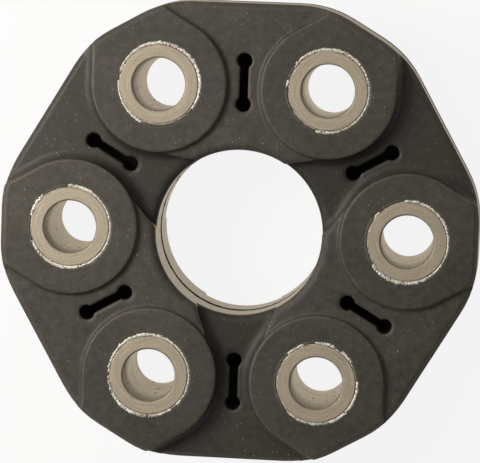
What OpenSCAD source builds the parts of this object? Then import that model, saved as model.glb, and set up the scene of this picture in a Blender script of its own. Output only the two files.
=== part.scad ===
// Flexible disc coupling for a driveshaft: six steel bushes moulded into one rubber disc,
// tied to their neighbours by cord loops. Thick webs hold a loop on each side, thin webs one between.
// The shaft axis is Z. The origin is the middle of the disc, on the parting line of the mould.

/* [Bushes] */
// Diameter of the circle through the bush centres
bolt_circle = 96; // [93:0.5:100]
// Length of a bush, which is the clamped thickness of the disc
bush_length = 36; // [33:0.5:42]
// Bore for a flange bolt
bush_bore = 15; // [12:0.1:16]
// Outer diameter of a bush
bush_outer = 22.5; // [20:0.1:25]
// Chamfer at each mouth of the bore
bore_chamfer = 0.4; // [0.2:0.1:1]
// Chamfer round each end face of a bush
face_chamfer = 0.25; // [0.1:0.05:0.5]

/* [Collars] */
// Wall of the thin lip that stands round a bush end
lip_wall = 0.45; // [0.3:0.05:0.8]
// Thickness of the collar plates
collar_plate = 1.2; // [0.8:0.1:2]
// How far a collar plate reaches past the cords
collar_margin = 0.6; // [0.2:0.1:1.5]
// Rubber between a pad face and the collar plate below it
collar_cover = 2.9; // [2:0.1:4]
// From the parting line up to an inner collar plate
inner_plate = 5; // [4:0.1:5.5]

/* [Cord loops] */
// Rubber between the cords and the centre hole
cord_cover = 2.2; // [1.8:0.1:3]
// Thin rubber skin between the cords and the steel that they bear on
cord_skin = 0.3; // [0.1:0.1:0.6]

/* [Centre hole] */
// Diameter of the centre hole
hole_bore = 47.6; // [44:0.2:49]
// Rounding where a web runs into the centre hole
hole_round = 1.4; // [0.6:0.1:1.8]

/* [Rim] */
// From a bush centre out to the boss flat, on the parting line
boss_reach = 20.6; // [20:0.1:23]
// From the line between two bushes out to the web flat, on the parting line
web_reach = 24.3; // [23:0.1:26]
// Radius of the rim's corners
corner_r = 30; // [20:0.5:36]
// How far the rim tapers in from the parting line to the bevel at a pad face
rim_taper = 0.6; // [0.3:0.1:1.2]
// Bevel where the rim meets a pad face
rim_bevel = 1.25; // [0.85:0.1:1.45]

/* [Pads and webs] */
// How far the bush ends stand proud of the pad faces
pad_recess = 0.3; // [0.1:0.1:0.6]
// Radius of a pad about its bush
pad_r = 19.3; // [18.5:0.1:20]
// Rounding of the pad's edge
pad_round = 0.5; // [0.3:0.1:0.8]
// Step from a pad face down to a high web
high_step = 1.5; // [1:0.1:2.2]
// Step from a pad face down to a low web
low_step = 4.8; // [4:0.1:6]
// Fillet at the foot of a pad on a high web
high_fillet = 1.2; // [0.6:0.1:1.4]
// Fillet at the foot of a pad on a low web
low_fillet = 3; // [2:0.1:3.4]
// Bevel along the outer edge of a web
edge_bevel = 1.3; // [0.6:0.1:1.8]

/* [Slots] */
// From the line between two bushes out to the middle of a slot
slot_offset = 1.4; // [0:0.1:2]
// Overall length of a slot
slot_length = 16.6; // [14:0.1:18]
// Diameter of a slot's round ends
slot_lobe = 4.2; // [3.6:0.1:4.4]
// Width of a slot's waist
slot_waist = 2.3; // [1.6:0.1:3]
// Rounding of a slot's mouth
slot_round = 0.6; // [0.3:0.1:0.8]
// Rubber left between the front and the rear slot
slot_floor = 3; // [1:0.5:8]

/* [Hidden] */
$fn = 96;
rim_facets = 72;
bush_count = 6;
pair_count = bush_count / 2;
pitch = 360 / bush_count;
bolt_r = bolt_circle / 2;
bush_r = bush_outer / 2;
half_length = bush_length / 2;

// Heights above the parting line
pad_z = half_length - pad_recess;
high_z = pad_z - high_step;
low_z = pad_z - low_step;
plate_top = pad_z - collar_cover;
plate_bottom = plate_top - collar_plate;
taper_z = pad_z - rim_bevel;

// Distances from the disc's centre, of the cords from a bush's centre and of the lobes in a slot
half_gap = bolt_r * sin(pitch / 2);
mid_line = bolt_r * cos(pitch / 2);
hole_r = hole_bore / 2;
cord_r = mid_line - hole_r - cord_cover;
collar_r = cord_r + collar_margin;
boss_flat = bolt_r + boss_reach;
web_flat = mid_line + web_reach;
past_rim = 2 * boss_flat;
slot_r = mid_line + slot_offset;
lobe_r = slot_lobe / 2;
lobe_x = slot_length / 2 - lobe_r;

// Pad edges run straight and converge towards the rim from these two meridians
edge_meridian = 60;
edge_run = 2 * boss_reach;
edge_lead = 1;
fillet_step = 15;

// Small overlaps that keep joined shapes from only touching
root = 0.5;
sink = 0.06;
past_face = 1;

rubber_colour = [0.27, 0.26, 0.24];
bush_colour = [0.64, 0.60, 0.54];
collar_colour = [0.78, 0.76, 0.72];
cord_colour = [0.72, 0.66, 0.50];

// Bush 1 lies on +X and the others follow anticlockwise
function bush_angle(i) = (i - 1) * pitch;
// Thin and thick webs take turns, starting with the thin one between bushes 1 and 2
function thin_angle(k) = (2 * k - 1.5) * pitch;
function thick_angle(k) = (2 * k - 0.5) * pitch;
function polar(r, a) = [r * cos(a), r * sin(a)];
// Distance of a web flat from the shaft axis at a height above the parting line
function web_flat_at(z) = web_flat - rim_taper * z / taper_z;

module at_bush(i) {
    rotate(bush_angle(i)) translate([bolt_r, 0, 0]) children();
}

module at_each_bush() {
    for (i = [1:bush_count]) at_bush(i) children();
}

module at_thin_webs() {
    for (k = [1:pair_count]) rotate(thin_angle(k)) children();
}

module at_thick_webs() {
    for (k = [1:pair_count]) rotate(thick_angle(k)) children();
}

// The same shape on the front and the rear
module both_sides() {
    children();
    mirror([0, 0, 1]) children();
}

// Outer form of the moulding: flats at the bosses and webs, rounded corners, tapered both ways
// and bevelled at the pads
module rim_solid() {
    corner_x = boss_flat - corner_r;
    corner_y = ((web_flat - corner_r) - corner_x * cos(pitch / 2)) / sin(pitch / 2);
    top_r = corner_r - rim_taper;
    hull() both_sides() for (i = [1:bush_count], side = [-1, 1])
        rotate(bush_angle(i)) translate([corner_x, side * corner_y, 0]) {
            cylinder(h = taper_z, r1 = corner_r, r2 = top_r, $fn = rim_facets);
            cylinder(h = pad_z, r = top_r - rim_bevel, $fn = rim_facets);
        }
}

// Turns a profile (distance from the bush, height) right round a pad
module round_pad() {
    rotate(edge_meridian) rotate_extrude() children();
}

// Lays a profile along one straight edge of a pad, which starts inside the round
module along_edge() {
    rotate(edge_meridian) translate([-sink, edge_lead, 0])
        rotate([90, 0, 0]) linear_extrude(height = edge_lead + edge_run) children();
}

// Takes a profile round a pad and out along both straight edges
module follow_pad() {
    round_pad() children();
    for (side = [0, 1]) mirror([0, side, 0]) along_edge() children();
}

// Section of a pad with a softened edge, reaching inward past the bush axis by the given amount
module pad_section(inward) {
    foot_z = low_z - low_fillet;
    soft = pad_round * (1 - cos(45));
    polygon([
        [-inward, foot_z],
        [pad_r, foot_z],
        [pad_r, pad_z - pad_round],
        [pad_r - soft, pad_z - soft],
        [pad_r - pad_round, pad_z],
        [-inward, pad_z]
    ]);
}

module pad() {
    round_pad() pad_section(0);
    intersection() {
        along_edge() pad_section(2 * pad_r);
        mirror([0, 1, 0]) along_edge() pad_section(2 * pad_r);
    }
}

// Section of a hollow fillet between a pad's wall and a floor
module foot_section(floor_z, fillet) {
    middle = [pad_r + fillet - sink, floor_z + fillet - sink];
    hollow = [for (a = [0:fillet_step:90]) middle + polar(fillet, 180 + a)];
    polygon(concat(
        [[pad_r - root, floor_z - root], [pad_r - root, middle[1]]],
        hollow,
        [[middle[0], floor_z - root]]
    ));
}

// Plan of a high web: its edges start inside the centre hole and run into the two pads
module high_web_plan() {
    start_r = hole_r - root;
    reach = bolt_r - start_r;
    touch_r = pad_r - pad_round;
    swing = acos(touch_r / reach);
    touch = [bolt_r - touch_r * cos(swing), touch_r * sin(swing)];
    touch_a = atan2(touch[1], touch[0]);
    half = pitch / 2;
    polygon(concat(
        [[0, 0], polar(start_r, -half), polar(norm(touch), -half - touch_a), polar(bolt_r, -half)],
        [polar(past_rim, -half), polar(past_rim, half)],
        [polar(bolt_r, half), polar(norm(touch), half + touch_a), polar(start_r, half)]
    ));
}

module high_web(top_z) {
    foot_z = low_z - hole_round - root;
    translate([0, 0, foot_z]) linear_extrude(height = top_z - foot_z) high_web_plan();
}

// Bevel that breaks the outer edge of a web whose floor is at this height
module web_bevel(floor_z) {
    side = edge_bevel * sqrt(2);
    translate([web_flat_at(floor_z), 0, floor_z])
        rotate([0, 45, 0]) cube([side, bolt_r, side], center = true);
}

// Section that rounds the edge between a wall and a web's floor, with a steep and a shallow slope
// that pass the edge at both ends. It reaches inward past zero by the given amount.
module edge_section(wall, floor_z, radius, inward) {
    soft = radius * (1 - cos(45));
    past = 2 * radius - soft;
    polygon([
        [-inward, floor_z - past],
        [wall - soft, floor_z - past],
        [wall + soft, floor_z - soft],
        [wall + past, floor_z + soft],
        [wall + past, floor_z + past_face],
        [-inward, floor_z + past_face]
    ]);
}

// Rounds a web off where it meets the centre hole
module hole_edge(floor_z) {
    rotate_extrude() edge_section(hole_r, floor_z, hole_round, 0);
}

// Low floor all round, with its bevelled edges
module low_floor() {
    difference() {
        translate([0, 0, -root]) cylinder(h = low_z + root, r = past_rim);
        at_thin_webs() web_bevel(low_z);
        hole_edge(low_z);
    }
}

module high_webs() {
    difference() {
        at_thick_webs() high_web(high_z);
        at_thick_webs() web_bevel(high_z);
        hole_edge(high_z);
    }
}

// Front half of the rubber before the hole, slots and inserts are taken out
module front_form() {
    low_floor();
    high_webs();
    at_each_bush() {
        pad();
        follow_pad() foot_section(low_z, low_fillet);
    }
    intersection() {
        at_each_bush() follow_pad() foot_section(high_z, high_fillet);
        at_thick_webs() high_web(pad_z);
    }
}

module slot_plan() {
    neck = polar(lobe_r - sink, edge_meridian);
    taper = (neck[1] - slot_waist / 2) / tan(pitch / 2);
    waist = [lobe_x - neck[0] - taper, slot_waist / 2];
    throat = [lobe_x - neck[0], neck[1]];
    for (end = [-1, 1]) translate([end * lobe_x, 0]) circle(lobe_r);
    polygon([
        throat, waist, [-waist[0], waist[1]], [-throat[0], throat[1]],
        -throat, -waist, [waist[0], -waist[1]], [throat[0], -throat[1]]
    ]);
}

// Rounds off both lobes and the waist of a slot's mouth
module slot_mouth(floor_z) {
    for (end = [-1, 1]) translate([end * lobe_x, 0, 0])
        rotate_extrude() edge_section(lobe_r, floor_z, slot_round, 0);
    for (side = [0, 1]) mirror([0, side, 0]) translate([-lobe_x, 0, 0]) rotate([90, 0, 90])
        linear_extrude(height = 2 * lobe_x) edge_section(slot_waist / 2, floor_z, slot_round, sink);
}

// One slot in a web whose floor is at this height
module slot(floor_z) {
    translate([slot_r, 0, 0]) {
        translate([0, 0, slot_floor / 2]) linear_extrude(height = half_length) slot_plan();
        slot_mouth(floor_z);
    }
}

module centre_hole() {
    cylinder(h = bush_length, r = hole_r, center = true);
}

// Room for a bush and its two collars in one half of the disc
module bush_seat() {
    top = half_length + past_face;
    translate([0, 0, -root]) cylinder(h = top + root, r = bush_r);
    translate([0, 0, plate_bottom]) cylinder(h = top - plate_bottom, r = bush_r + lip_wall);
    translate([0, 0, plate_bottom]) cylinder(h = collar_plate, r = collar_r);
    translate([0, 0, inner_plate]) cylinder(h = collar_plate, r = collar_r);
}

// Room for everything that is moulded in
module insert_room() {
    both_sides() at_each_bush() bush_seat();
    for (k = [1:pair_count]) {
        front_cord(k);
        middle_cord(k);
        rear_cord(k);
    }
}

module rubber_body() {
    color(rubber_colour) difference() {
        intersection() {
            rim_solid();
            both_sides() front_form();
        }
        centre_hole();
        insert_room();
        both_sides() at_thick_webs() slot(high_z);
        both_sides() at_thin_webs() slot(low_z);
    }
}

module bush(i) {
    bore_r = bush_bore / 2;
    at_bush(i) color(bush_colour) rotate_extrude() polygon([
        [bore_r, half_length - bore_chamfer],
        [bore_r + bore_chamfer, half_length],
        [bush_r - face_chamfer, half_length],
        [bush_r, half_length - face_chamfer],
        [bush_r, face_chamfer - half_length],
        [bush_r - face_chamfer, -half_length],
        [bore_r + bore_chamfer, -half_length],
        [bore_r, bore_chamfer - half_length]
    ]);
}

module front_collar(i) {
    at_bush(i) color(collar_colour) rotate_extrude() polygon([
        [bush_r, plate_bottom],
        [collar_r, plate_bottom],
        [collar_r, plate_top],
        [bush_r + lip_wall, plate_top],
        [bush_r + lip_wall, pad_z],
        [bush_r, pad_z]
    ]);
}

module rear_collar(i) {
    mirror([0, 0, 1]) front_collar(i);
}

module front_inner_collar(i) {
    at_bush(i) color(collar_colour) rotate_extrude()
        translate([bush_r, inner_plate]) square([collar_r - bush_r, collar_plate]);
}

module rear_inner_collar(i) {
    mirror([0, 0, 1]) front_inner_collar(i);
}

// Section of a cord package that fills the room between two heights, from a bush's wall outwards
module cord_section(low, high) {
    inner = bush_r + cord_skin;
    translate([inner, low + cord_skin]) square([cord_r - inner, high - low - 2 * cord_skin]);
}

// One package of cord wound round two bushes: a half turn at each end and two straight runs
module cord_loop(low, high) {
    color(cord_colour) translate([mid_line, 0, 0]) for (end = [0, 1])
        rotate(180 * end) translate([0, half_gap, 0]) {
            rotate_extrude(angle = 180, start = 0) cord_section(low, high);
            rotate([90, 0, 0]) linear_extrude(height = 2 * half_gap) cord_section(low, high);
        }
}

module front_cord(k) {
    rotate(thick_angle(k)) cord_loop(inner_plate + collar_plate, plate_bottom);
}

module middle_cord(k) {
    rotate(thin_angle(k)) cord_loop(-inner_plate, inner_plate);
}

module rear_cord(k) {
    mirror([0, 0, 1]) front_cord(k);
}

rubber_body();
for (i = [1:bush_count]) {
    bush(i);
    front_collar(i);
    front_inner_collar(i);
    rear_inner_collar(i);
    rear_collar(i);
}
for (k = [1:pair_count]) {
    front_cord(k);
    middle_cord(k);
    rear_cord(k);
}
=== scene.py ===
"""Looks of a flexible disc coupling: dusty moulded rubber, turned steel bushes and torn lips round them."""

import logging
import math
import random
from dataclasses import dataclass, field
from enum import Enum
from typing import Callable, Dict, List, Sequence, Tuple, Union

import bpy
from mathutils import Matrix, Quaternion, Vector


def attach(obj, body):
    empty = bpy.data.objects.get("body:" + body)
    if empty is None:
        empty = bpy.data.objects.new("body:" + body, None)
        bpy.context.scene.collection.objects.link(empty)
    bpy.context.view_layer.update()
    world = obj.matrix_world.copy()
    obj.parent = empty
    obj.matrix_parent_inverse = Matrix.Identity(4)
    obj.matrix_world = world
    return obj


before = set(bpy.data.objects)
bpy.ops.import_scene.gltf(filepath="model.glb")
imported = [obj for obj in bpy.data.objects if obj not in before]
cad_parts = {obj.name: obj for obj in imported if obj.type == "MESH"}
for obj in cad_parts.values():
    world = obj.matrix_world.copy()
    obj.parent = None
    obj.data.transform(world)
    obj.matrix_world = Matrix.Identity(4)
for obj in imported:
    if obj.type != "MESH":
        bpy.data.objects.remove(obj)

LOG = logging.getLogger("coupling")
MM = 0.001
BODY = "root"
Colour = Tuple[float, float, float]
Socket = bpy.types.NodeSocket
Feed = Union[Socket, float, Sequence[float]]
Point = Tuple[float, float, float]
Arcs = Tuple[Tuple[float, float], ...]

# Where the lip is torn away round each front bush end, in degrees about the bush
TORN_AWAY: Tuple[Arcs, ...] = (
    ((96.0, 135.0), (146.0, 216.0)),
    ((146.0, 166.0), (175.0, 255.0)),
    ((165.0, 176.0), (246.0, 326.0)),
    ((95.0, 133.0), (166.0, 203.0)),
    ((178.0, 183.0), (268.0, 272.0), (306.0, 316.0)),
    ((5.0, 35.0), (54.0, 66.0), (94.0, 110.0), (136.0, 226.0)),
)


class Side(Enum):
    """The two faces of the disc, by the sign of their height."""

    FRONT = 1.0
    REAR = -1.0


class Course(Enum):
    """Courses that wander round a bush end, each with its own random draws."""

    WIDTH = 2
    HEIGHT = 3
    EDGE = 4
    BREADTH = 5


class Slot(Enum):
    """Material slots of the record."""

    RUBBER = "rubber"
    BUSH = "bush_steel"
    COLLAR = "collar_steel"
    CORD = "cord"


class Tree:
    """Short calls that build a shader node tree."""

    def __init__(self, tree: bpy.types.NodeTree) -> None:
        """Starts on an empty tree."""
        self.tree = tree
        tree.nodes.clear()

    def node(self, kind: str, **settings: object) -> bpy.types.Node:
        """Adds a node.

        Args:
            kind: the node's class name without "ShaderNode".
            settings: properties of the node.

        Returns:
            The new node.
        """
        made = self.tree.nodes.new("ShaderNode" + kind)
        for name, value in settings.items():
            setattr(made, name, value)
        return made

    def feed(self, target: Socket, value: Feed) -> None:
        """Links a socket to the target, or sets the target's constant.

        Args:
            target: the input that is fed.
            value: an output to link, or a number or colour to set.
        """
        if isinstance(value, bpy.types.NodeSocket):
            self.tree.links.new(value, target)
        elif isinstance(value, (int, float)):
            target.default_value = value
        else:
            target.default_value = (tuple(value) + (1.0,))[:len(target.default_value)]

    def math(self, operation: str, *values: Feed) -> Socket:
        """Adds a maths node.

        Args:
            operation: what the node does.
            values: its inputs in order.

        Returns:
            The result.
        """
        made = self.node("Math", operation=operation)
        for target, value in zip(made.inputs, values):
            self.feed(target, value)
        return made.outputs[0]

    def band(self, value: Feed, low: float, high: float) -> Socket:
        """Maps a value smoothly to 0 at low and 1 at high.

        Args:
            value: what is mapped.
            low: where the result is 0.
            high: where the result is 1, which may be below low.

        Returns:
            A value from 0 to 1.
        """
        made = self.node("MapRange", interpolation_type="SMOOTHSTEP", clamp=True)
        rising = low < high
        self.feed(made.inputs["Value"], value)
        made.inputs["From Min"].default_value = min(low, high)
        made.inputs["From Max"].default_value = max(low, high)
        made.inputs["To Min"].default_value = 0.0 if rising else 1.0
        made.inputs["To Max"].default_value = 1.0 if rising else 0.0
        return made.outputs[0]

    def mix(self, share: Feed, first: Feed, second: Feed) -> Socket:
        """Mixes two colours.

        Args:
            share: 0 for the first colour, 1 for the second.
            first: one colour.
            second: the other colour.

        Returns:
            The mixed colour.
        """
        made = self.node("Mix", data_type="RGBA")
        for index, value in ((0, share), (6, first), (7, second)):
            self.feed(made.inputs[index], value)
        return made.outputs[2]

    def blend(self, share: Feed, first: Feed, second: Feed) -> Socket:
        """Mixes two plain values.

        Args:
            share: 0 for the first value, 1 for the second.
            first: one value.
            second: the other value.

        Returns:
            The mixed value.
        """
        made = self.node("Mix", data_type="FLOAT")
        for index, value in ((0, share), (2, first), (3, second)):
            self.feed(made.inputs[index], value)
        return made.outputs[0]

    def noise(self, where: Feed, scale: float, detail: float) -> Socket:
        """Adds a noise in space.

        Args:
            where: the point at which it is read.
            scale: how many waves fit into one unit of the point.
            detail: how many finer layers it has.

        Returns:
            A value from 0 to 1.
        """
        made = self.node("TexNoise")
        self.feed(made.inputs["Vector"], where)
        made.inputs["Scale"].default_value = scale
        made.inputs["Detail"].default_value = detail
        return made.outputs[0]

    def vector(self, x: Feed, y: Feed, z: Feed) -> Socket:
        """Joins three values to a vector.

        Args:
            x: first part.
            y: second part.
            z: third part.

        Returns:
            The vector.
        """
        made = self.node("CombineXYZ")
        for target, value in zip(made.inputs, (x, y, z)):
            self.feed(target, value)
        return made.outputs[0]

    def bump(self, height: Feed, depth: float, normal: Feed) -> Socket:
        """Adds a bump.

        Args:
            height: from 0 to 1.
            depth: how deep the whole range is, in metres.
            normal: the normal that the bump bends.

        Returns:
            The bent normal.
        """
        made = self.node("Bump")
        made.inputs["Strength"].default_value = 1.0
        made.inputs["Distance"].default_value = depth
        self.feed(made.inputs["Height"], height)
        self.feed(made.inputs["Normal"], normal)
        return made.outputs[0]


@dataclass(frozen=True)
class Effects:
    """Shader groups that more than one finish uses.

    Attributes:
        bolt_r: radius of the circle through the bush centres, in millimetres.
        bushes: how many bushes there are.
    """

    bolt_r: float = 48.0
    bushes: int = 6

    def group(self, name: str, inputs: Dict[str, str], outputs: Dict[str, str],
              build: Callable[[Tree, Dict[str, Socket]], Dict[str, Socket]]) -> bpy.types.NodeTree:
        """Makes a node group, or finds the one that was made before.

        Args:
            name: name of the group.
            inputs: input names and the kinds of their sockets.
            outputs: output names and the kinds of their sockets.
            build: fills the tree from the inputs and returns what the outputs take.

        Returns:
            The group.
        """
        made = bpy.data.node_groups.get(name)
        if made is not None:
            return made
        made = bpy.data.node_groups.new(name, "ShaderNodeTree")
        for way, sockets in (("INPUT", inputs), ("OUTPUT", outputs)):
            for label, kind in sockets.items():
                made.interface.new_socket(label, in_out=way, socket_type="NodeSocket" + kind)
        tree = Tree(made)
        entry = made.nodes.new("NodeGroupInput")
        leave = made.nodes.new("NodeGroupOutput")
        results = build(tree, {label: entry.outputs[label] for label in inputs})
        for label, socket in results.items():
            tree.feed(leave.inputs[label], socket)
        return made

    def add(self, tree: Tree, group: bpy.types.NodeTree, **values: Feed) -> Dict[str, Socket]:
        """Puts a group into a material.

        Args:
            tree: the material's tree.
            group: the group.
            values: what its inputs take.

        Returns:
            The group's outputs by name.
        """
        made = tree.node("Group", node_tree=group)
        for name, value in values.items():
            tree.feed(made.inputs[name], value)
        return {label.name: label for label in made.outputs}

    def place(self, tree: Tree) -> Dict[str, Socket]:
        """Adds coordinates in millimetres, and the distance from and turn about the nearest bush.

        Args:
            tree: the material's tree.

        Returns:
            Point, Height and Reach on the disc, and Radius, Turn and Index at the nearest bush.
        """

        def build(inner: Tree, _inputs: Dict[str, Socket]) -> Dict[str, Socket]:
            """Folds the bushes onto one.

            Args:
                inner: the group's tree.

            Returns:
                What the group puts out.
            """
            scaled = inner.node("VectorMath", operation="SCALE")
            inner.feed(scaled.inputs[0], inner.node("TexCoord").outputs["Object"])
            scaled.inputs["Scale"].default_value = 1.0 / MM
            split = inner.node("SeparateXYZ")
            inner.feed(split.inputs[0], scaled.outputs[0])
            x, y, z = split.outputs
            pitch = 2.0 * math.pi / self.bushes
            square = [inner.math("MULTIPLY", axis, axis) for axis in (x, y)]
            reach = inner.math("SQRT", inner.math("ADD", *square))
            turn = inner.math("ADD", inner.math("ARCTAN2", y, x), 2.0 * math.pi + pitch / 2.0)
            sector = inner.math("FLOOR", inner.math("DIVIDE", turn, pitch))
            local = inner.math("SUBTRACT", inner.math("MODULO", turn, pitch), pitch / 2.0)
            along = inner.math("MULTIPLY", reach, inner.math("COSINE", local))
            u = inner.math("SUBTRACT", along, self.bolt_r)
            v = inner.math("MULTIPLY", reach, inner.math("SINE", local))
            local_square = [inner.math("MULTIPLY", axis, axis) for axis in (u, v)]
            return {
                "Point": scaled.outputs[0],
                "Height": z,
                "Reach": reach,
                "Radius": inner.math("SQRT", inner.math("ADD", *local_square)),
                "Turn": inner.math("ARCTAN2", v, u),
                "Index": inner.math("MODULO", sector, float(self.bushes)),
            }

        outputs = {"Point": "Vector", "Height": "Float", "Reach": "Float",
                   "Radius": "Float", "Turn": "Float", "Index": "Float"}
        return self.add(tree, self.group("bush_place", {}, outputs, build))

    def mottle(self, tree: Tree, point: Socket) -> Dict[str, Socket]:
        """Adds cloudy, patchy and fine variation of a surface.

        Args:
            tree: the material's tree.
            point: where the surface is, in millimetres.

        Returns:
            Three values from 0 to 1.
        """

        def build(inner: Tree, inputs: Dict[str, Socket]) -> Dict[str, Socket]:
            """Returns three noises of different size."""
            where = inputs["Point"]
            return {
                "Cloud": inner.noise(where, 0.06, 3.0),
                "Patch": inner.noise(where, 0.45, 5.0),
                "Fine": inner.noise(where, 3.0, 3.0),
            }

        outputs = {"Cloud": "Float", "Patch": "Float", "Fine": "Float"}
        return self.add(tree, self.group("mottle", {"Point": "Vector"}, outputs, build), Point=point)

    def specks(self, tree: Tree, point: Socket, scale: float, share: float) -> Socket:
        """Adds scattered specks.

        Args:
            tree: the material's tree.
            point: where the surface is, in millimetres.
            scale: cells per millimetre.
            share: the share of cells that hold a speck.

        Returns:
            A mask that is 1 on the specks.
        """

        def build(inner: Tree, inputs: Dict[str, Socket]) -> Dict[str, Socket]:
            """Picks small round cells and leaves most of them out.

            Args:
                inner: the group's tree.
                inputs: what the group takes.

            Returns:
                What the group puts out.
            """
            cells = inner.node("TexVoronoi", feature="F1")
            inner.feed(cells.inputs["Vector"], inputs["Point"])
            inner.feed(cells.inputs["Scale"], inputs["Scale"])
            parts = inner.node("SeparateColor")
            inner.feed(parts.inputs[0], cells.outputs["Color"])
            chosen = inner.math("LESS_THAN", parts.outputs[0], inputs["Share"])
            size = inner.math("MULTIPLY", parts.outputs[1], 0.3)
            dot = inner.math("LESS_THAN", cells.outputs["Distance"], size)
            return {"Mask": inner.math("MULTIPLY", chosen, dot)}

        inputs = {"Point": "Vector", "Scale": "Float", "Share": "Float"}
        made = self.group("specks", inputs, {"Mask": "Float"}, build)
        return self.add(tree, made, Point=point, Scale=scale, Share=share)["Mask"]

    def edges(self, tree: Tree, radius: Feed, wear: float) -> Dict[str, Socket]:
        """Adds rounded edges.

        Args:
            tree: the material's tree.
            radius: how far the rounding reaches, in metres.
            wear: how far the edge mask for wear and painted highlight reaches, in metres.

        Returns:
            The rounded normal, and a mask that is 1 on outer edges.
        """

        def build(inner: Tree, inputs: Dict[str, Socket]) -> Dict[str, Socket]:
            """Bends the normal, and finds how much of the near inside is missing.

            Args:
                inner: the group's tree.
                inputs: what the group takes.

            Returns:
                What the group puts out.
            """
            bevel = inner.node("Bevel", samples=6)
            inner.feed(bevel.inputs["Radius"], inputs["Round"])
            inside = inner.node("AmbientOcclusion", samples=6, inside=True, only_local=True)
            inner.feed(inside.inputs["Distance"], inputs["Worn"])
            return {"Normal": bevel.outputs[0], "Wear": inner.band(inside.outputs["AO"], 0.97, 0.55)}

        inputs = {"Round": "Float", "Worn": "Float"}
        outputs = {"Normal": "Vector", "Wear": "Float"}
        return self.add(tree, self.group("edges", inputs, outputs, build), Round=radius, Worn=wear)


@dataclass(frozen=True)
class Finish:
    """What every finish shares.

    Attributes:
        name: name of the material.
        effects: the shared shader groups.
    """

    name: str
    effects: Effects = Effects()

    def material(self) -> bpy.types.Material:
        """Makes the material with a surface shader in place.

        Returns:
            The new material.
        """
        made = bpy.data.materials.new(self.name)
        made.use_nodes = True
        tree = Tree(made.node_tree)
        surface = tree.node("BsdfPrincipled")
        leave = tree.node("OutputMaterial")
        tree.feed(leave.inputs["Surface"], surface.outputs[0])
        self.dress(tree, surface)
        return made

    def dress(self, tree: Tree, surface: bpy.types.Node) -> None:
        """Feeds the surface shader."""
        raise NotImplementedError


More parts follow.
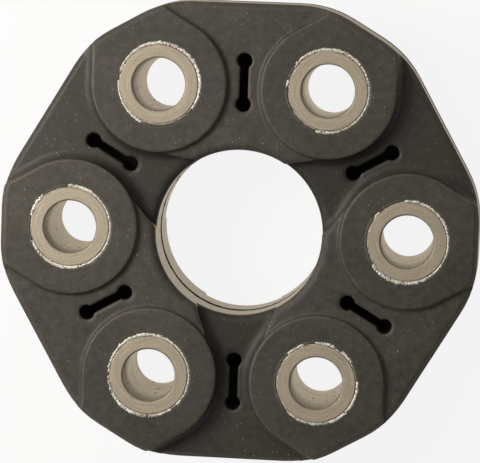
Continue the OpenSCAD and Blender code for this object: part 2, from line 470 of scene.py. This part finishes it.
@dataclass(frozen=True)
class RubberFinish(Finish):
    """Dusty moulded rubber with paler edges of wear and painted highlight, painted shade in the low webs
    and down the slots, smooth walls, and a painted shadow along the parting line.

    Attributes:
        dark: colour of the darker patches.
        light: colour of the lighter patches.
        deep: colour of the painted shade that the recessed low webs tend to, more so towards the centre
            hole.
        dust: colour of dust specks.
        worn: colour of the edges, partly wear and partly painted highlight.
        line: colour of the painted shadow along the parting line and of the painted shade down the slots.
        rough: roughness of the darker patches.
        hole_rough: roughness of the centre hole's wall.
        rim_rough: roughness of the rim's wall.
        low_z: height of the low webs, in millimetres.
        pad_r: radius of the pads.
        slot_reach: between which distances from the shaft axis the slots lie.
    """

    name: str = "rubber"
    dark: Colour = (0.026, 0.0235, 0.0191)
    light: Colour = (0.069, 0.0632, 0.0523)
    deep: Colour = (0.012, 0.0107, 0.0084)
    dust: Colour = (0.40, 0.375, 0.31)
    worn: Colour = (0.20, 0.178, 0.140)
    line: Colour = (0.006, 0.0056, 0.005)
    rough: float = 0.46
    hole_rough: float = 0.24
    rim_rough: float = 0.34
    low_z: float = 12.9
    pad_r: float = 19.3
    slot_reach: Tuple[float, float] = (28.0, 62.0)

    def dress(self, tree: Tree, surface: bpy.types.Node) -> None:
        """Feeds the surface shader.

        Args:
            tree: the material's tree.
            surface: the shader.
        """
        place = self.effects.place(tree)
        mottle = self.effects.mottle(tree, place["Point"])
        slots_start, slots_end = self.slot_reach
        by_hole = tree.math("MULTIPLY", tree.band(place["Reach"], slots_end - 20.0, slots_start),
                            tree.band(place["Radius"], self.pad_r + 0.6, self.pad_r + 2.2))
        edges = self.effects.edges(tree, tree.blend(by_hole, 1.0 * MM, 3.0 * MM), 0.8 * MM)
        level = tree.math("ABSOLUTE", place["Height"])
        tone = tree.math("ADD", tree.math("MULTIPLY", mottle["Cloud"], 0.35),
                         tree.math("MULTIPLY", mottle["Patch"], 0.5))
        tone = tree.math("ADD", tone, tree.math("MULTIPLY", mottle["Fine"], 0.5))
        colour = tree.mix(tree.band(tone, 0.43, 0.92), self.dark, self.light)
        # painted shade: the recessed low webs darken towards the deep colour, more strongly near the centre
        # hole
        low = tree.math("MULTIPLY", tree.band(level, self.low_z + 2.4, self.low_z + 0.3),
                        tree.blend(tree.band(place["Reach"], 50.0, 32.0), 0.5, 0.75))
        colour = tree.mix(low, colour, self.deep)
        # paler edges: partly rubbed wear, partly painted highlight where the edges catch the light
        worn = tree.math("MULTIPLY", edges["Wear"], tree.band(mottle["Fine"], 0.25, 0.6))
        worn = tree.math("MULTIPLY", worn, tree.blend(by_hole, 0.75, 0.15))
        colour = tree.mix(worn, colour, self.worn)
        coarse = self.effects.specks(tree, place["Point"], 1.5, 0.14)
        fine = self.effects.specks(tree, place["Point"], 2.4, 0.22)
        dusty = tree.math("MAXIMUM", tree.math("MULTIPLY", coarse, tree.band(mottle["Cloud"], 0.42, 0.6)),
                          tree.math("MULTIPLY", fine, tree.band(mottle["Patch"], 0.35, 0.65)))
        dusty = tree.math("MULTIPLY", dusty, tree.band(mottle["Fine"], 0.2, 0.8))
        colour = tree.mix(dusty, colour, self.dust)
        facing = tree.node("SeparateXYZ")
        tree.feed(facing.inputs[0], tree.node("NewGeometry").outputs["True Normal"])
        wall = tree.band(tree.math("ABSOLUTE", facing.outputs[2]), 0.3, 0.1)
        outside = tree.band(place["Reach"], slots_start, slots_end)
        # painted shadow: a dark frayed band round the rim and hole walls along the parting line, where a
        # groove or bead would cast shade
        frayed = tree.math("ADD", level, tree.math("MULTIPLY", mottle["Patch"], 1.6))
        parting = tree.blend(outside, tree.band(frayed, 1.9, 1.5), tree.band(frayed, 1.3, 1.1))
        parting = tree.math("MULTIPLY", wall, parting)
        trimmed = tree.blend(outside, tree.band(frayed, 2.6, 2.0), tree.band(frayed, 5.5, 3.8))
        trimmed = tree.math("MULTIPLY", wall, trimmed)
        # painted shade: the slot walls below the low webs are painted nearly black
        slots = tree.math("MULTIPLY", tree.band(place["Reach"], slots_start, slots_start + 1.0),
                          tree.band(place["Reach"], slots_end, slots_end - 1.0))
        slots = tree.math("MULTIPLY", slots, tree.band(level, self.low_z - 0.8, self.low_z - 5.0))
        painted_shade_mask = tree.math("MAXIMUM", parting, slots)
        tree.feed(surface.inputs["Base Color"], tree.mix(painted_shade_mask, colour, self.line))
        rough = tree.blend(mottle["Patch"], self.rough, self.rough + 0.14)
        rough = tree.blend(wall, rough, tree.blend(outside, self.hole_rough, self.rim_rough))
        matt = tree.math("MAXIMUM", painted_shade_mask, trimmed)
        tree.feed(surface.inputs["Roughness"], tree.blend(matt, rough, 0.95))
        tree.feed(surface.inputs["Normal"], tree.bump(mottle["Fine"], 0.04 * MM, edges["Normal"]))


@dataclass(frozen=True)
class BushFinish(Finish):
    """Matt turned steel with marks round the end faces and along the bores.

    Attributes:
        dark: colour of the darker marks.
        light: colour of the lighter marks.
        bore: colour of the bores.
        dark_mark: colour of specks in the bores and of dark patches round the outer edge of an end face.
        shade: colour of the painted shade in the bores close to their front mouths.
        bore_r: radius of the bore, in millimetres.
        bush_r: outer radius, in millimetres.
        half_length: height of the end faces, in millimetres.
    """

    name: str = "bush_steel"
    dark: Colour = (0.29, 0.248, 0.186)
    light: Colour = (0.55, 0.483, 0.382)
    bore: Colour = (0.40, 0.350, 0.283)
    dark_mark: Colour = (0.05, 0.043, 0.034)
    shade: Colour = (0.13, 0.109, 0.080)
    bore_r: float = 7.5
    bush_r: float = 11.25
    half_length: float = 18.0

    def dress(self, tree: Tree, surface: bpy.types.Node) -> None:
        """Feeds the surface shader.

        Args:
            tree: the material's tree.
            surface: the shader.
        """
        place = self.effects.place(tree)
        mottle = self.effects.mottle(tree, place["Point"])
        edges = self.effects.edges(tree, 0.35 * MM, 0.35 * MM)
        lathe = tree.vector(tree.math("MULTIPLY", place["Radius"], 4.4),
                            tree.math("MULTIPLY", place["Turn"], 1.3),
                            tree.math("ADD", tree.math("MULTIPLY", place["Height"], 1.6),
                                      tree.math("MULTIPLY", place["Index"], 37.0)))
        marks = tree.noise(lathe, 1.0, 3.0)
        tone = tree.math("ADD", tree.math("MULTIPLY", marks, 0.5),
                         tree.math("MULTIPLY", mottle["Fine"], 0.55))
        colour = tree.mix(tree.band(tone, 0.3, 0.75), self.dark, self.light)
        in_bore = tree.band(place["Radius"], self.bore_r + 0.35, self.bore_r + 0.1)
        turned = tree.vector(tree.math("MULTIPLY", place["Turn"], 0.6),
                             tree.math("MULTIPLY", place["Height"], 0.6),
                             tree.math("MULTIPLY", place["Index"], 23.0))
        rings = tree.band(tree.noise(turned, 1.0, 5.0), 0.36, 0.56)
        ringed = tree.math("MULTIPLY", in_bore, tree.blend(rings, 0.1, 1.0))
        colour = tree.mix(ringed, colour, self.bore)
        # painted shade: the bores darken towards their front mouths
        mouth = tree.band(place["Height"], 2.0, self.half_length - 1.0)
        shaded = tree.math("MULTIPLY", in_bore, tree.math("MULTIPLY", mouth, 0.6))
        colour = tree.mix(shaded, colour, self.shade)
        smeared = tree.node("VectorMath", operation="MULTIPLY")
        tree.feed(smeared.inputs[0], place["Point"])
        smeared.inputs[1].default_value = (1.0, 1.0, 0.35)
        specks = tree.math("MAXIMUM", self.effects.specks(tree, smeared.outputs[0], 0.8, 0.2),
                           self.effects.specks(tree, smeared.outputs[0], 1.4, 0.24))
        specks = tree.math("MULTIPLY", specks, in_bore)
        # dark patches round the outer edge of each end face
        rim = tree.band(place["Radius"], self.bush_r - 0.3, self.bush_r - 0.12)
        rim_dark = tree.math("MULTIPLY", rim, tree.band(mottle["Patch"], 0.42, 0.52))
        dark_marked = tree.math("MAXIMUM", specks, tree.math("MULTIPLY", rim_dark, 0.8))
        colour = tree.mix(dark_marked, colour, self.dark_mark)
        tree.feed(surface.inputs["Base Color"], colour)
        tree.feed(surface.inputs["Metallic"], tree.blend(in_bore, 0.2, 0.35))
        inner_rough = tree.math("ADD", tree.blend(mouth, 0.28, 0.42), tree.blend(rings, 0.16, 0.0))
        inner_rough = tree.math("MAXIMUM", inner_rough, specks)
        rough = tree.blend(in_bore, tree.blend(marks, 0.42, 0.62), inner_rough)
        tree.feed(surface.inputs["Roughness"], rough)
        tree.feed(surface.inputs["Normal"], tree.bump(tone, 0.08 * MM, edges["Normal"]))


@dataclass(frozen=True)
class TornFinish(Finish):
    """Bright torn sheet steel in fine grains, brighter or duller in patches of painted light and shade.

    Attributes:
        bright: colour of the metal where painted light falls.
        dull: colour of the metal in painted shade.
        crumb: colour of the rubber between the grains.
    """

    name: str = "collar_steel"
    bright: Colour = (0.88, 0.86, 0.80)
    dull: Colour = (0.42, 0.385, 0.32)
    crumb: Colour = (0.05, 0.045, 0.037)

    def dress(self, tree: Tree, surface: bpy.types.Node) -> None:
        """Feeds the surface shader.

        Args:
            tree: the material's tree.
            surface: the shader.
        """
        place = self.effects.place(tree)
        mottle = self.effects.mottle(tree, place["Point"])
        grain = tree.noise(place["Point"], 2.4, 2.0)
        # painted light and shade: cloudy patches make the lip bright in some places and dull in others
        painted_light_share = tree.math("ADD", mottle["Cloud"], tree.math("MULTIPLY", mottle["Patch"], 0.8))
        colour = tree.mix(tree.band(painted_light_share, 0.65, 0.95), self.dull, self.bright)
        colour = tree.mix(tree.band(grain, 0.44, 0.36), colour, self.crumb)
        tree.feed(surface.inputs["Base Color"], colour)
        surface.inputs["Metallic"].default_value = 0.1
        tree.feed(surface.inputs["Roughness"], tree.blend(mottle["Fine"], 0.35, 0.6))
        plain = tree.node("NewGeometry").outputs["Normal"]
        tree.feed(surface.inputs["Normal"], tree.bump(grain, 0.2 * MM, plain))


@dataclass(frozen=True)
class CordFinish(Finish):
    """Twisted cord, wound side by side.

    Attributes:
        dark: colour between the threads.
        light: colour of the threads.
    """

    name: str = "cord"
    dark: Colour = (0.30, 0.25, 0.16)
    light: Colour = (0.62, 0.55, 0.40)

    def dress(self, tree: Tree, surface: bpy.types.Node) -> None:
        """Feeds the surface shader.

        Args:
            tree: the material's tree.
            surface: the shader.
        """
        place = self.effects.place(tree)
        mottle = self.effects.mottle(tree, place["Point"])
        layers = tree.node("TexWave", bands_direction="Z")
        tree.feed(layers.inputs["Vector"], place["Point"])
        layers.inputs["Scale"].default_value = 0.35
        layers.inputs["Distortion"].default_value = 0.4
        thread = layers.outputs["Fac"]
        tone = tree.math("MULTIPLY", thread, tree.band(mottle["Patch"], 0.1, 0.6))
        tree.feed(surface.inputs["Base Color"], tree.mix(tone, self.dark, self.light))
        surface.inputs["Roughness"].default_value = 0.85
        plain = tree.node("NewGeometry").outputs["Normal"]
        tree.feed(surface.inputs["Normal"], tree.bump(thread, 0.2 * MM, plain))


@dataclass
class Finishes:
    """One material for each slot of the record."""

    made: Dict[Slot, bpy.types.Material] = field(default_factory=dict)

    def build(self) -> None:
        """Makes all the materials."""
        recipes: Dict[Slot, Finish] = {
            Slot.RUBBER: RubberFinish(),
            Slot.BUSH: BushFinish(),
            Slot.COLLAR: TornFinish(),
            Slot.CORD: CordFinish(),
        }
        for slot, recipe in recipes.items():
            self.made[slot] = recipe.material()

    def paint(self, piece: bpy.types.Object, slot: Slot) -> None:
        """Gives a piece the material of a slot, and no other."""
        piece.data.materials.clear()
        piece.data.materials.append(self.made[slot])


@dataclass
class CadPieces:
    """Gives the pieces of the frame their finishes.

    Attributes:
        finishes: the materials.
        slots: which names start with what, and the slot that they take.
    """

    finishes: Finishes
    slots: Dict[str, Slot] = field(default_factory=lambda: {
        "rubber_body": Slot.RUBBER,
        "bush_": Slot.BUSH,
        "front_collar_": Slot.COLLAR,
        "front_inner_collar_": Slot.COLLAR,
        "rear_inner_collar_": Slot.COLLAR,
        "rear_collar_": Slot.COLLAR,
        "front_cord_": Slot.CORD,
        "middle_cord_": Slot.CORD,
        "rear_cord_": Slot.CORD,
    })

    def dress(self) -> None:
        """Paints every node of the frame."""
        for name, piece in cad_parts.items():
            slot = next(slot for start, slot in self.slots.items() if name.startswith(start))
            self.finishes.paint(piece, slot)
            LOG.info("dressed %s with %s", name, slot.value)


@dataclass
class Ragged:
    """A value that wanders smoothly round a closed ring.

    Attributes:
        seed: picks one course.
        waves: highest number of waves round the ring.
        fall: how fast the finer waves die out.
    """

    seed: int
    waves: int = 24
    fall: float = 0.6

    def __post_init__(self) -> None:
        """Draws the waves."""
        chance = random.Random(self.seed)
        self.terms = [(chance.gauss(0.0, 1.0) / n ** self.fall, n, chance.uniform(0.0, 2.0 * math.pi))
                      for n in range(1, self.waves + 1)]
        self.size = math.sqrt(sum(a * a for a, _, _ in self.terms) / 2.0)

    def at(self, turn: float) -> float:
        """Returns the value at a turn, mostly between -1 and 1."""
        return sum(a * math.sin(n * turn + shift) for a, n, shift in self.terms) / (1.6 * self.size)


@dataclass
class RingPiece:
    """A thin closed ring whose section changes on the way round.

    Attributes:
        name: name of the piece.
        centre: a point on its axis, in millimetres.
        steps: how many sections there are.
    """

    name: str
    centre: Point
    steps: int = 420

    def build(self, section: Callable[[float], List[Tuple[float, float]]]) -> bpy.types.Object:
        """Makes the ring.

        Args:
            section: gives the closed section at a turn, as distances from the axis and heights.

        Returns:
            The new piece, which rides on the part.
        """
        points: List[Vector] = []
        for step in range(self.steps):
            turn = 2.0 * math.pi * step / self.steps
            for out, up in section(turn):
                place = Vector((out * math.cos(turn), out * math.sin(turn), up)) + Vector(self.centre)
                points.append(place * MM)
        count = len(points) // self.steps
        faces = []
        for step in range(self.steps):
            here, there = step * count, (step + 1) % self.steps * count
            for k in range(count):
                after = (k + 1) % count
                faces.append((here + k, there + k, there + after, here + after))
        mesh = bpy.data.meshes.new(self.name)
        mesh.from_pydata(points, [], faces)
        mesh.validate()
        mesh.shade_smooth()
        piece = bpy.data.objects.new(self.name, mesh)
        bpy.context.scene.collection.objects.link(piece)
        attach(piece, BODY)
        return piece


@dataclass
class BushSurround:
    """What the mould left round one bush end: a thin torn lip, and rubber skin where the lip is gone.

    Attributes:
        index: number of the bush.
        side: face of the disc.
        finishes: the materials.
        gaps: where the lip is gone, in degrees about the bush.
        slope: how many degrees the lip takes to run out beside a gap.
        bolt_r: distance of the bush from the shaft axis, in millimetres.
        bush_r: outer radius of the bush.
        lip_r: outer radius of the lip.
        pad_z: height of the pad face.
        sunk: how far a piece lies below the pad face where it doesn't show.
        breadth: how far the torn edge lies outside lip_r, and how much that wanders.
        nick: how deep the torn edge is nicked.
        rise: how high the lip stands, and how much that wanders.
    """

    index: int
    side: Side
    finishes: Finishes
    gaps: Arcs
    slope: float = 4.0
    bolt_r: float = 48.0
    bush_r: float = 11.25
    lip_r: float = 11.7
    pad_z: float = 17.7
    sunk: float = 0.08
    breadth: Tuple[float, float] = (0.3, 0.3)
    nick: float = 0.2
    rise: Tuple[float, float] = (0.2, 0.08)

    def centre(self) -> Point:
        """Returns a point on the bush axis."""
        turn = math.radians(60.0 * (self.index - 1))
        return (self.bolt_r * math.cos(turn), self.bolt_r * math.sin(turn), 0.0)

    def named(self, what: str) -> str:
        """Returns the name of a piece of this bush end."""
        return f"{what}_{self.side.name.lower()}_{self.index}"

    def ragged(self, course: Course, waves: int, fall: float) -> Ragged:
        """Returns a course of its own for this bush end."""
        return Ragged(1000 * course.value + 17 * self.index + int(self.side.value), waves, fall)

    def shown(self, turn: float) -> float:
        """Tells where the lip shows.

        Args:
            turn: angle about the bush.

        Returns:
            1 where the lip shows, 0 where it is gone, and a quick slope between.
        """
        angle = math.degrees(turn)
        inside = max(min(angle - start, end - angle) for start, end in self.gaps)
        return max(0.0, min(1.0, 0.5 - inside / self.slope))

    def tear(self) -> bpy.types.Object:
        """Makes the bright torn edge of the lip.

        Returns:
            The new piece.
        """
        width = self.ragged(Course.WIDTH, 150, 0.1)
        height = self.ragged(Course.HEIGHT, 150, 0.1)
        broad = self.ragged(Course.BREADTH, 3, 0.0)

        def section(turn: float) -> List[Tuple[float, float]]:
            """Draws a thin band with a rough top.

            Args:
                turn: angle about the bush.

            Returns:
                Distances from the bush axis and heights.
            """
            spread = self.breadth[0] + self.breadth[1] * max(-1.0, min(1.0, broad.at(turn)))
            out = self.lip_r + spread + self.nick * max(-1.0, min(1.4, width.at(turn)))
            full = self.rise[0] + self.rise[1] * max(-1.0, min(1.0, height.at(turn)))
            rise = self.shown(turn) * full - self.sunk
            low = self.pad_z - 2.0 * self.sunk
            return self.turned([(self.bush_r + 0.06, low), (self.bush_r + 0.1, self.pad_z + rise),
                                (out - 0.12, self.pad_z + rise), (out, low)])

        piece = RingPiece(self.named("torn_lip"), self.centre()).build(section)
        self.finishes.paint(piece, Slot.COLLAR)
        return piece

    def flash(self) -> bpy.types.Object:
        """Makes the rubber skin that lies where the lip is gone.

        Returns:
            The new piece.
        """
        edge = self.ragged(Course.EDGE, 60, 0.3)

        def section(turn: float) -> List[Tuple[float, float]]:
            """Draws a low skin that thins out over the pad.

            Args:
                turn: angle about the bush.

            Returns:
                Distances from the bush axis and heights.
            """
            inner = self.bush_r + 0.1 + 0.06 * max(-1.0, min(1.0, edge.at(turn)))
            top = self.pad_z + (1.0 - self.shown(turn)) * 2.0 * self.sunk - self.sunk
            low = self.pad_z - 2.0 * self.sunk
            return self.turned([(inner, low), (inner + 0.05, top),
                                (self.lip_r + 0.15, top), (self.lip_r + 0.8, low)])

        piece = RingPiece(self.named("rubber_flash"), self.centre()).build(section)
        self.finishes.paint(piece, Slot.RUBBER)
        return piece

    def turned(self, rows: List[Tuple[float, float]]) -> List[Tuple[float, float]]:
        """Lays a section on this side of the disc.

        Args:
            rows: the section as it lies on the front, inner side first.

        Returns:
            The section in the order that makes its faces look outwards.
        """
        if self.side is Side.FRONT:
            return rows[::-1]
        return [(out, -up) for out, up in rows]

    def build(self) -> None:
        """Makes both pieces."""
        for piece in (self.tear(), self.flash()):
            LOG.info("made %s", piece.name)


@dataclass
class CentreSeam:
    """Rubber that the mould's parting line left round the centre hole.

    Attributes:
        finishes: the materials.
        hole_r: radius of the centre hole, in millimetres.
    """

    finishes: Finishes
    hole_r: float = 23.8

    def build(self) -> None:
        """Makes the thin uneven thread of rubber."""
        swell = Ragged(41, waves=50, fall=0.4)
        drift = Ragged(42, waves=14)

        def section(turn: float) -> List[Tuple[float, float]]:
            """Draws a small bead.

            Args:
                turn: angle about the shaft axis.

            Returns:
                Distances from the shaft axis and heights.
            """
            grow = 0.09 + 0.09 * max(-0.9, min(1.4, swell.at(turn)))
            middle = 0.06 * drift.at(turn)
            top = 0.5 * grow + 0.05
            return [(self.hole_r + 0.2, middle - 0.15), (self.hole_r + 0.2, middle + 0.15),
                    (self.hole_r - grow, middle + top), (self.hole_r - grow, middle - top)]

        piece = RingPiece("seam_rubber", (0.0, 0.0, 0.0), 360).build(section)
        self.finishes.paint(piece, Slot.RUBBER)
        LOG.info("made %s", piece.name)


@dataclass(frozen=True)
class PhotoCamera:
    """A camera that stands where the photo was taken.

    Attributes:
        turn: rotation vector from the part to the camera.
        shift: place of the part's front face in the camera's axes, in millimetres.
        front_z: height of that face above the part's origin, in millimetres.
        focal_px: focal length in pixels of a picture as wide as width_px.
        width_px: width of the picture.
    """

    turn: Point = (0.092, -0.078, -0.042)
    shift: Point = (-0.677, -0.822, -727.684)
    front_z: float = 18.0
    focal_px: float = 2567.371
    width_px: int = 480

    def build(self) -> None:
        """Makes the camera and looks through it."""
        vector = Vector(self.turn)
        rotation = Quaternion(vector.normalized(), vector.length).to_matrix()
        back = rotation.transposed()
        place = (Vector((0.0, 0.0, self.front_z)) - back @ Vector(self.shift)) * MM
        data = bpy.data.cameras.new("photo_camera")
        data.sensor_width = 36.0
        data.lens = self.focal_px / self.width_px * data.sensor_width
        data.clip_start = 0.05
        camera = bpy.data.objects.new("photo_camera", data)
        camera.matrix_world = Matrix.Translation(place) @ back.to_4x4()
        bpy.context.scene.collection.objects.link(camera)
        bpy.context.scene.camera = camera
        LOG.info("camera at %s", [round(x, 4) for x in place])


@dataclass(frozen=True)
class Studio:
    """A pale floor, a white surround and soft lamps.

    Attributes:
        floor_z: height of the floor, in millimetres.
        floor_size: side of the floor, in metres.
        surround: strength of the surround.
        horizon: strength of its lower part where it is mirrored.
        clean: how much of the floor's white the shadow leaves.
        warm: colour of the lamps.
        mirrored: colour of the floor in smooth walls.
        lamps: for each lamp its place, its size in metres and its power in watts.
    """

    floor_z: float = -18.0
    floor_size: float = 6.0
    surround: float = 0.10
    horizon: float = 1.0
    clean: float = 0.88
    warm: Colour = (1.0, 0.94, 0.84)
    mirrored: Colour = (1.0, 0.87, 0.69)
    lamps: Tuple[Tuple[Point, float, float], ...] = (
        ((-0.27, 0.09, 0.26), 0.20, 1.35),
        ((-0.10, 0.0, 0.75), 0.50, 0.6),
        ((0.05, 0.60, 0.55), 0.40, 0.8),
    )

    def floor(self) -> None:
        """Makes the floor, which the camera sees as white with a faint shadow."""
        half = self.floor_size / 2.0
        mesh = bpy.data.meshes.new("floor")
        ways = ((-1, -1), (1, -1), (1, 1), (-1, 1))
        corners = [(half * x, half * y, self.floor_z * MM) for x, y in ways]
        mesh.from_pydata(corners, [], [(0, 1, 2, 3)])
        piece = bpy.data.objects.new("floor", mesh)
        bpy.context.scene.collection.objects.link(piece)
        made = bpy.data.materials.new("floor")
        made.use_nodes = True
        tree = Tree(made.node_tree)
        matt = tree.node("BsdfDiffuse")
        matt.inputs["Color"].default_value = (0.8, 0.8, 0.8, 1.0)
        white = tree.node("Emission")
        path = tree.node("LightPath")
        straight = path.outputs["Is Camera Ray"]
        tree.feed(white.inputs["Color"], tree.mix(straight, self.mirrored, (1.0, 1.0, 1.0)))
        mirrored = tree.math("MAXIMUM", path.outputs["Is Glossy Ray"], path.outputs["Is Transmission Ray"])
        seen = tree.math("MAXIMUM", mirrored, tree.math("MULTIPLY", straight, self.clean))
        blend = tree.node("MixShader")
        tree.feed(blend.inputs[0], seen)
        tree.feed(blend.inputs[1], matt.outputs[0])
        tree.feed(blend.inputs[2], white.outputs[0])
        leave = tree.node("OutputMaterial")
        tree.feed(leave.inputs["Surface"], blend.outputs[0])
        mesh.materials.append(made)

    def world(self) -> None:
        """Makes the white surround."""
        made = bpy.data.worlds.new("surround")
        bpy.context.scene.world = made
        made.use_nodes = True
        tree = Tree(made.node_tree)
        light = tree.node("Background")
        light.inputs["Color"].default_value = (1.0, 1.0, 1.0, 1.0)
        ray = tree.node("SeparateXYZ")
        tree.feed(ray.inputs[0], tree.node("TexCoord").outputs["Generated"])
        mirrored = tree.node("LightPath").outputs["Is Glossy Ray"]
        glow = tree.math("MULTIPLY", mirrored, tree.band(ray.outputs[2], 0.4, 0.05))
        tree.feed(light.inputs["Strength"], tree.blend(glow, self.surround, self.horizon))
        leave = tree.node("OutputWorld")
        tree.feed(leave.inputs["Surface"], light.outputs[0])

    def lights(self) -> None:
        """Hangs the lamps, all turned to the part."""
        for number, (place, size, power) in enumerate(self.lamps, 1):
            data = bpy.data.lights.new(f"lamp_{number}", "AREA")
            data.size = size
            data.energy = power
            data.color = self.warm
            lamp = bpy.data.objects.new(f"lamp_{number}", data)
            lamp.location = place
            lamp.rotation_euler = (-Vector(place)).to_track_quat("-Z", "Y").to_euler()
            bpy.context.scene.collection.objects.link(lamp)

    def build(self) -> None:
        """Makes everything round the part."""
        self.floor()
        self.world()
        self.lights()
        bpy.context.scene.view_settings.view_transform = "Standard"
        LOG.info("studio is up")


def main() -> None:
    """Builds the looks in order."""
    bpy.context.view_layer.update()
    finishes = Finishes()
    finishes.build()
    CadPieces(finishes).dress()
    for side in Side:
        for index in range(1, len(TORN_AWAY) + 1):
            gaps = TORN_AWAY[index - 1] if side is Side.FRONT else TORN_AWAY[-index]
            BushSurround(index, side, finishes, gaps).build()
    CentreSeam(finishes).build()
    Studio().build()
    PhotoCamera().build()


if __name__ == "__main__":
    logging.basicConfig(level=logging.INFO)
    main()
